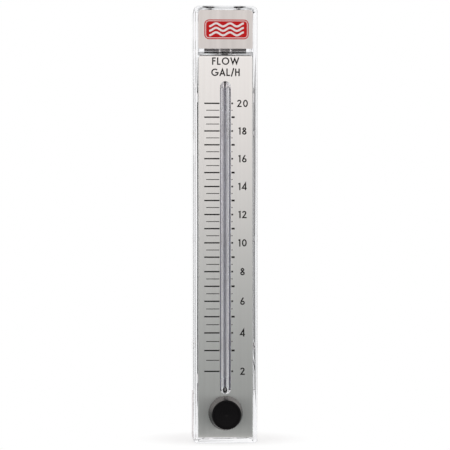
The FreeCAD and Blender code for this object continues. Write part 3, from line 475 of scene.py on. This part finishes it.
def letter_shapes():
    """The (strokes, width) of each sign, for a capital height of 1."""
    half = STROKE / 2
    top = 1 - half
    return {
        "0": ([bowl(0.30, 0.5, 0.30, 0.5, steps=41)], 0.60),
        "1": ([[(0.02, 0.86), (0.20, top), (0.20, 0)]], 0.28),
        "2": ([np.concatenate([bowl(0.27, 0.72, 0.27, 0.28, 172, -38, 28), [(0.10, half), (0.56, half)]])],
              0.56),
        "4": ([[(0.44, 0), (0.44, 0.96), (0.06, 0.27), (0.44 - half, 0.27)],
               [(0.44 + half, 0.27), (0.60, 0.27)]], 0.60),
        "6": ([bowl(0.29, 0.29, 0.29, 0.29), [(0.40, 1.0), (0.115, 0.50)]], 0.58),
        "8": ([bowl(0.28, 0.27, 0.28, 0.27), bowl(0.28, 0.76, 0.23, 0.24)], 0.56),
        "F": ([[(half, 0), (half, top), (0.50, top)], [(STROKE, 0.53), (0.45, 0.53)]], 0.50),
        "L": ([[(half, 1), (half, half), (0.48, half)]], 0.48),
        "O": ([bowl(0.50, 0.5, 0.50, 0.5, steps=49)], 1.0),
        "W": ([[(0.03, 1), (0.31, 0.17), (0.56, 0.84), (0.81, 0.17), (1.09, 1)]], 1.12),
        "G": ([np.concatenate([bowl(0.50, 0.5, 0.50, 0.5, 48, 353, 40), [(0.54, 0.46)]])], 0.96),
        "A": ([[(0.03, 0), (0.37, 0.90), (0.71, 0)], [(0.20, 0.30), (0.54, 0.30)]], 0.74),
        "H": ([[(half, 0), (half, 1)], [(0.62 - half, 0), (0.62 - half, 1)],
               [(STROKE, 0.53), (0.62 - STROKE, 0.53)]], 0.62),
        "/": ([[(0.02, -0.06), (0.34, 1.06)]], 0.36),
    }


def lettering(words, height, widen=1.0, gap=0.16):
    """Strokes for several words: each is (signs, x of its middle, z of its middle)."""
    shapes = letter_shapes()
    strokes = []
    across = height * widen
    for signs, x, z in words:
        drawn = [shapes[sign] for sign in signs]
        at = x - across * (sum(width for _, width in drawn) + gap * (len(drawn) - 1)) / 2
        for paths, width in drawn:
            strokes += [np.asarray(path) * (across, height) + (at, z - height / 2) for path in paths]
            at += (width + gap) * across
    return strokes


def rungs(flows, left, right):
    """A level line from left to right, in millimetres, at each reading."""
    return [[(left * MM, reading_height(flow)), (right * MM, reading_height(flow))] for flow in flows]


def printed(name, paths, width):
    """One printed group as thin closed strokes of ink on the plate's front."""
    fixed(solid_mesh(name, *carried_bars(paths, width, plate_low.y, INK_T)), ink)


readings = np.arange(FLOW_MIN, FLOW_MAX + FLOW_STEP / 2, FLOW_STEP)
whole = [flow for flow in readings if flow % 1 == 0]
between = [flow for flow in readings if flow % 1]
odd = [flow for flow in whole if flow % 2]
even = [flow for flow in whole if not flow % 2]
printed("whole_gallon_lines", rungs(whole, left=-19.0, right=-5.3), width=1.2 * MM)
printed("half_gallon_lines", rungs(between, left=-17.2, right=-5.5), width=0.66 * MM)
printed("odd_marks", rungs(odd, left=5.3, right=8.2), width=1.6 * MM)
printed("even_marks", rungs(even, left=5.2, right=6.8), width=1.5 * MM)
printed("half_marks", rungs(between, left=5.3, right=6.3), width=0.75 * MM)
numbered = [(str(int(flow)), NUMBER_X, reading_height(flow)) for flow in even]
printed("scale_numbers", lettering(numbered, NUMBER_H, widen=1.14), width=STROKE * NUMBER_H)
legend_z = plate_high.z - LEGEND_DROP
legend = [("FLOW", 0, legend_z), ("GAL/H", 0, legend_z - LEGEND_STEP)]
printed("scale_legend", lettering(legend, LEGEND_H), width=STROKE * LEGEND_H)

# ------------------------------------------------------------------ Flow tube
# Polished steel ball, a turned plug with its seal, a spring steel fork that holds the plug by its neck, and
# a grey film behind the tube. The fork's colour is greyer in its middle, with a painted highlight line at
# each side.
FORK_MIDDLE = 4.3 * MM  # half width of the greyer middle
FORK_HIGHLIGHT, FORK_HIGHLIGHT_HALF = 4.95 * MM, 0.6 * MM  # middle and half width of each painted highlight line
# grey of the fork's middle, and grey of the painted highlight lines
FORK_GREY, HIGHLIGHT_GREY = 0.13, 0.85
# The ball's steel colour is far darker than steel: painted shade, for the dark channel that it reflects.
shade_darkened_ball_steel = finish_material(
    "Polished ball steel with painted shade", color=(0.20, 0.20, 0.205), shade=0.04, rough=(0.03, 0.07),
    grain_scale=(700, 700, 700), relief=0.1e-6, metallic=1.0)
turned = finish_material(
    "Turned stainless", color=(0.60, 0.60, 0.59), shade=0.10, rough=(0.16, 0.30),
    grain_scale=(900, 900, 900), relief=0.5e-6, metallic=1.0)
dark_steel = finish_material(
    "Darkened plug steel", color=(0.10, 0.10, 0.105), shade=0.2, rough=(0.25, 0.40),
    grain_scale=(900, 900, 900), relief=0.5e-6, metallic=1.0)
spring_steel = finish_material(
    "Black-oxide spring steel", color=(0.055, 0.055, 0.06), shade=0.3, rough=(0.25, 0.40),
    grain_scale=(300, 1800, 300), relief=0.5e-6, metallic=1.0)
seal = finish_material(
    "Nitrile rubber", color=(0.018, 0.018, 0.019), shade=0.3, rough=(0.45, 0.65),
    grain_scale=(1500, 1500, 1500), relief=1.5e-6)
film = finish_material(
    "Grey film", color=(0.85, 0.87, 0.95), shade=0.06, rough=(0.60, 0.72),
    grain_scale=(900, 900, 120), relief=1e-6, Transmission_Weight=0.5)


def grey(level):
    """A colour without a hue."""
    return (level, level, level, 1)


def rubbed_steel():
    """The spring steel, greyer in the fork's middle, with a painted highlight line at each side of it."""
    material = spring_steel.copy()
    material.name = "Spring steel with painted highlights"
    tree = material.node_tree
    color = tree.nodes["Principled BSDF"].inputs["Base Color"]
    sideways = worked(tree, "ABSOLUTE", coordinate(tree, "X"))
    in_middle = worked(tree, "LESS_THAN", sideways, FORK_MIDDLE)
    # painted highlight: a bright line at each side of the fork's middle
    in_highlight = worked(tree, "COMPARE", sideways, FORK_HIGHLIGHT, FORK_HIGHLIGHT_HALF)
    greyer = mixed(tree, in_middle, fed_by(color), grey(FORK_GREY))
    tree.links.new(mixed(tree, in_highlight, greyer, grey(HIGHLIGHT_GREY)), color)
    return material


wear(nodes["float_ball"], shade_darkened_ball_steel)
wear(nodes["tube_plug"], dark_steel)
wear(nodes["plug_retainer"], rubbed_steel())
wear(nodes["tube_plug_ring"], seal)
wear(nodes["backing_strip"], film)

# ------------------------------------------------------------------ Port inserts
# Turned stainless inserts, barbed outside and cut inside with a parallel 14-to-the-inch pipe thread.
# A rubber ring in a groove near the inner end seals each one in its bore.
PIPE_PITCH, PIPE_DEPTH = 1.814 * MM, 0.85 * MM
PIPE_MOUTH_R, PIPE_R = 10.4 * MM, 9.15 * MM
PIPE_LEAD_IN, PIPE_RUN_OUT = 1.6 * MM, 1.2 * MM  # where the thread fades, at the mouth and the inner end
BARBS = 3
BARB_START, BARB_STEP, BARB_SLOPE = 3.0 * MM, 3.2 * MM, 2.56 * MM
BARB_DEPTH = 0.6 * MM
GROOVE_HALF_W, GROOVE_DEPTH = 1.15 * MM, 1.88 * MM
INSERT_EDGE = 0.5 * MM


def threaded_bore(
        name, node, mouth_r, bore_r, pitch, depth, lead_in, run_out, outside, turns=72, per_pitch=8):
    """A turned insert along Y whose bore holds a cut thread.

    Surface: the profile goes out along the bore, over the lip at the mouth and back along the outside. In
    the bore the radius grows by depth * (1 - |2 f - 1|), with f the part of a pitch reached by
    y / pitch - t / (2 pi), and the growth fades out towards both ends.
    """
    low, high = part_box(node)
    x, z = (low.x + high.x) / 2, (low.z + high.z) / 2
    length = high.y - low.y
    inside = np.linspace(-length, -lead_in / 2, int(length / pitch * per_pitch))[:, None]
    t = np.linspace(0, 2 * np.pi, turns, endpoint=False)
    phase = (inside / pitch - t / (2 * np.pi)) % 1
    fade = np.clip((inside + length) / run_out, 0, 1) * np.clip((-inside - lead_in / 2) / lead_in * 2, 0, 1)
    cut = bore_r + depth * fade * (1 - np.abs(2 * phase - 1))
    lip = np.full((1, turns), mouth_r)
    skin = np.array(outside)
    radius = np.concatenate([cut, lip, skin[:, :1] + 0 * t])
    along = np.concatenate([inside + 0 * t, 0 * lip, skin[:, 1:] + 0 * t])
    grid = np.stack([x + radius * np.sin(t), high.y + along, z + radius * np.cos(t)], -1)
    piece = solid_mesh(name, grid.reshape(-1, 3), grid_faces(len(radius), turns, looped=True), smooth=35)
    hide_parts(node)
    return piece


insert_low, insert_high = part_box("inlet_insert")
port_r, port_l = (insert_high.x - insert_low.x) / 2, insert_high.y - insert_low.y
ring_low, ring_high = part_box("inlet_ring")
ring_y = (ring_low.y + ring_high.y) / 2
port_skin = [(port_r, 0)]
for barb in range(BARBS):
    at = -BARB_START - barb * BARB_STEP
    port_skin += [(port_r, at), (port_r - BARB_DEPTH, at), (port_r, at - BARB_SLOPE)]
port_skin += [
    (port_r, ring_y + GROOVE_HALF_W), (port_r - GROOVE_DEPTH, ring_y + GROOVE_HALF_W),
    (port_r - GROOVE_DEPTH, ring_y - GROOVE_HALF_W), (port_r, ring_y - GROOVE_HALF_W),
    (port_r, -port_l + INSERT_EDGE), (port_r - INSERT_EDGE, -port_l),
]
for name in ("inlet", "outlet"):
    fixed(threaded_bore(
        f"{name}_threaded_insert", f"{name}_insert", PIPE_MOUTH_R, PIPE_R, PIPE_PITCH, PIPE_DEPTH,
        PIPE_LEAD_IN, PIPE_RUN_OUT, port_skin), turned)
    wear(nodes[f"{name}_ring"], seal)

# ------------------------------------------------------------------ Mounting inserts
# Turned brass with a band at each end and a waist between, pressed in warm, and tapped for the panel
# screws.
SCREW_PITCH, SCREW_DEPTH = 0.794 * MM, 0.36 * MM
SCREW_MOUTH_R, SCREW_R = 2.45 * MM, 2.02 * MM
SCREW_LEAD_IN, SCREW_RUN_OUT = 0.5 * MM, 0.3 * MM
BRASS_R, BRASS_L = 3.5 * MM, 9.5 * MM
WAIST_DEPTH = 0.35 * MM
brass = finish_material(
    "Machined brass", color=(0.62, 0.45, 0.18), shade=0.15, rough=(0.2, 0.35),
    grain_scale=(1200, 1200, 1200), relief=1e-6, metallic=1.0)
waist_r = BRASS_R - WAIST_DEPTH
third = BRASS_L / 3
brass_skin = [
    (BRASS_R, 0), (BRASS_R, -third), (waist_r, -third - WAIST_DEPTH), (waist_r, -2 * third + WAIST_DEPTH),
    (BRASS_R, -2 * third), (BRASS_R, -BRASS_L),
]
for name in ("lower", "upper"):
    fixed(threaded_bore(
        f"{name}_tapped_insert", f"{name}_mounting_insert", SCREW_MOUTH_R, SCREW_R, SCREW_PITCH, SCREW_DEPTH,
        SCREW_LEAD_IN, SCREW_RUN_OUT, brass_skin, turns=40), brass)

# ------------------------------------------------------------------ Needle valve
# Turned stainless bonnet, lock ring and spindle, black nitrile seals and a white waxy seat. The threaded
# lock ring holds the bonnet down in the body.
for name in ("valve_body", "valve_lock_ring", "valve_stem"):
    wear(nodes[name], turned)
for name in ("valve_body_ring", "stem_ring_inner", "stem_ring_outer"):
    wear(nodes[name], seal)
wear(nodes["valve_seat"], finish_material(
    "Waxy seat plastic", color=(0.80, 0.80, 0.77), shade=0.04, rough=(0.35, 0.5),
    grain_scale=(700, 700, 700), relief=1e-6))

# ------------------------------------------------------------------ Knob
# Black moulding with fine straight flutes and a dished face, pushed on to the spindle's D-shaped end. A
# bowed leaf of spring steel inside presses on the spindle's flat and holds it.
wear(nodes["knob"], finish_material(
    "Black knob plastic", color=(0.004, 0.004, 0.0045), shade=0.2, rough=(0.22, 0.32),
    grain_scale=(1500, 1500, 1500), relief=1.0e-6, Specular_IOR_Level=0.09))
wear(nodes["knob_spring"], spring_steel)

# ------------------------------------------------------------------ Studio
# A pale floor, white all round, and soft light that falls off towards the floor in front. Grey screens round
# the white wall behind give the clear edges their lines. The camera stands a little to the left.
CAMERA_DISTANCE = 2.0
CAMERA_LEFT = 0.10
CAMERA_BELOW_MIDDLE, CAMERA_ASIDE = 0.45 * MM, 0.45 * MM  # small shifts that centre the picture
VIEW_HEIGHT = 0.4012  # height of the view at the body's front face
SENSOR = 24  # the lens follows from it
FLOOR_HALF_W, FLOOR_BACK, FLOOR_FRONT = 0.2, 0.6, 0.05
FLOOR_UNDER = 0.02 * MM  # gap under the body
FADE_FROM, FADE_TO = 0.045, 0.09  # distance from the foot over which the floor turns white
FOOT_GLOW = 0.72  # the floor's share of plain white at the foot
FRONT_LEVELS = (  # height of a direction, from -1 to 1, and the light's strength there
    (-0.35, 0.55), (-0.14, 0.24), (-0.07, 0.345), (-0.03, 0.46), (0.01, 0.87), (0.06, 1.28), (0.12, 1.34))
UNDER_LEVEL, OVER_LEVEL = 0.65, 1.05
BACK_LEVEL, SCREEN_LEVEL, SIDE_LEVEL, WALL_LEVEL = 0.5, 0.0, 0.75, 1.0
WARM_TINT = (1, 0.915, 0.915, 1)

world = bpy.data.worlds.new("Studio")
bpy.context.scene.world = world
world.use_nodes = True
sky = world.node_tree


def rising(value, start, end):
    """Rises smoothly from 0 to 1 as the value goes from start to end."""
    return spread(sky, value, start, end, interpolation="SMOOTHSTEP")


def both(one, other):
    """The product of two shares."""
    return worked(sky, "MULTIPLY", one, other)


# Each direction's parts to the right, away from the front and up run from -1 to 1.
right, away, up = [coordinate(sky, axis, kind="Generated") for axis in "XYZ"]
front = sky.nodes.new("ShaderNodeValToRGB")
sky.links.new(spread(sky, up, -1.0, 1.0), front.inputs["Fac"])
stops = front.color_ramp.elements
for height, strength in FRONT_LEVELS:
    stops.new((height + 1) / 2).color = grey(strength)
stops[0].color = grey(UNDER_LEVEL)
stops[-1].color = grey(OVER_LEVEL)
behind = rising(away, 0.10, 0.40)
back_left = both(rising(right, -0.25, -0.42), rising(away, 0.50, 0.62))
screen = both(back_left, rising(up, -0.13, -0.06))
beside = rising(both(right, right), 0.70, 0.85)
straight_behind = rising(away, 0.90, 0.97)
level = front.outputs["Color"]
for strength, share in (
        (BACK_LEVEL, behind), (SCREEN_LEVEL, screen), (SIDE_LEVEL, beside), (WALL_LEVEL, straight_behind)):
    level = mixed(sky, share, level, strength, kind="FLOAT")
warm = both(rising(up, -0.016, 0.014), rising(away, 0.1, -0.1))  # in front, above the middle
light = sky.nodes["Background"]
sky.links.new(mixed(sky, warm, grey(1), WARM_TINT), light.inputs["Color"])
sky.links.new(level, light.inputs["Strength"])
white_wall = sky.nodes.new("ShaderNodeBackground")
white_wall.inputs["Color"].default_value = grey(1)
rays = sky.nodes.new("ShaderNodeLightPath")
choose_shader(
    sky, rays.outputs["Is Camera Ray"], light.outputs["Background"], white_wall.outputs["Background"],
    "World Output")

body_low, body_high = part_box("body")
floor_front, floor_z = body_low.y - FLOOR_FRONT, body_low.z - FLOOR_UNDER
floor_mesh = bpy.data.meshes.new("floor")
floor_mesh.from_pydata([
    (-FLOOR_HALF_W, floor_front, floor_z), (FLOOR_HALF_W, floor_front, floor_z),
    (FLOOR_HALF_W, FLOOR_BACK, floor_z), (-FLOOR_HALF_W, FLOOR_BACK, floor_z),
], [], [(0, 1, 2, 3)])
floor = placed("floor", floor_mesh)
pale = finish_material(
    "Pale floor", color=(0.93, 0.93, 0.93), shade=0.01, rough=(0.6, 0.7),
    grain_scale=(30, 30, 30), relief=1e-6, Specular_IOR_Level=0.1)
wear(floor, pale)
paint = pale.node_tree
place = paint.nodes.new("ShaderNodeTexCoord")
from_foot = paint.nodes.new("ShaderNodeVectorMath")
from_foot.operation = "LENGTH"
paint.links.new(place.outputs["Object"], from_foot.inputs[0])
fading = spread(
    paint, from_foot.outputs["Value"], FADE_FROM, FADE_TO, FOOT_GLOW, 1.0, interpolation="SMOOTHSTEP")
floor_rays = paint.nodes.new("ShaderNodeLightPath")
in_sight = worked(
    paint, "MAXIMUM", floor_rays.outputs["Is Camera Ray"], floor_rays.outputs["Is Transmission Ray"])
glow = paint.nodes.new("ShaderNodeEmission")
glow.inputs["Color"].default_value = grey(1)
choose_shader(
    paint, worked(paint, "MULTIPLY", in_sight, fading), paint.nodes["Principled BSDF"].outputs["BSDF"],
    glow.outputs["Emission"], "Material Output")

camera = placed("Camera", bpy.data.cameras.new("Camera"))
bpy.context.scene.camera = camera
middle_z = (body_low.z + body_high.z) / 2
camera.location = (-CAMERA_LEFT - CAMERA_ASIDE, body_low.y - CAMERA_DISTANCE, middle_z - CAMERA_BELOW_MIDDLE)
camera.rotation_euler = (math.pi / 2, 0, -math.atan2(CAMERA_LEFT, CAMERA_DISTANCE))
camera.data.sensor_fit = "VERTICAL"
camera.data.sensor_height = SENSOR
camera.data.sensor_width = SENSOR
camera.data.lens = SENSOR * CAMERA_DISTANCE / VIEW_HEIGHT

bpy.context.scene.view_settings.view_transform = "Standard"
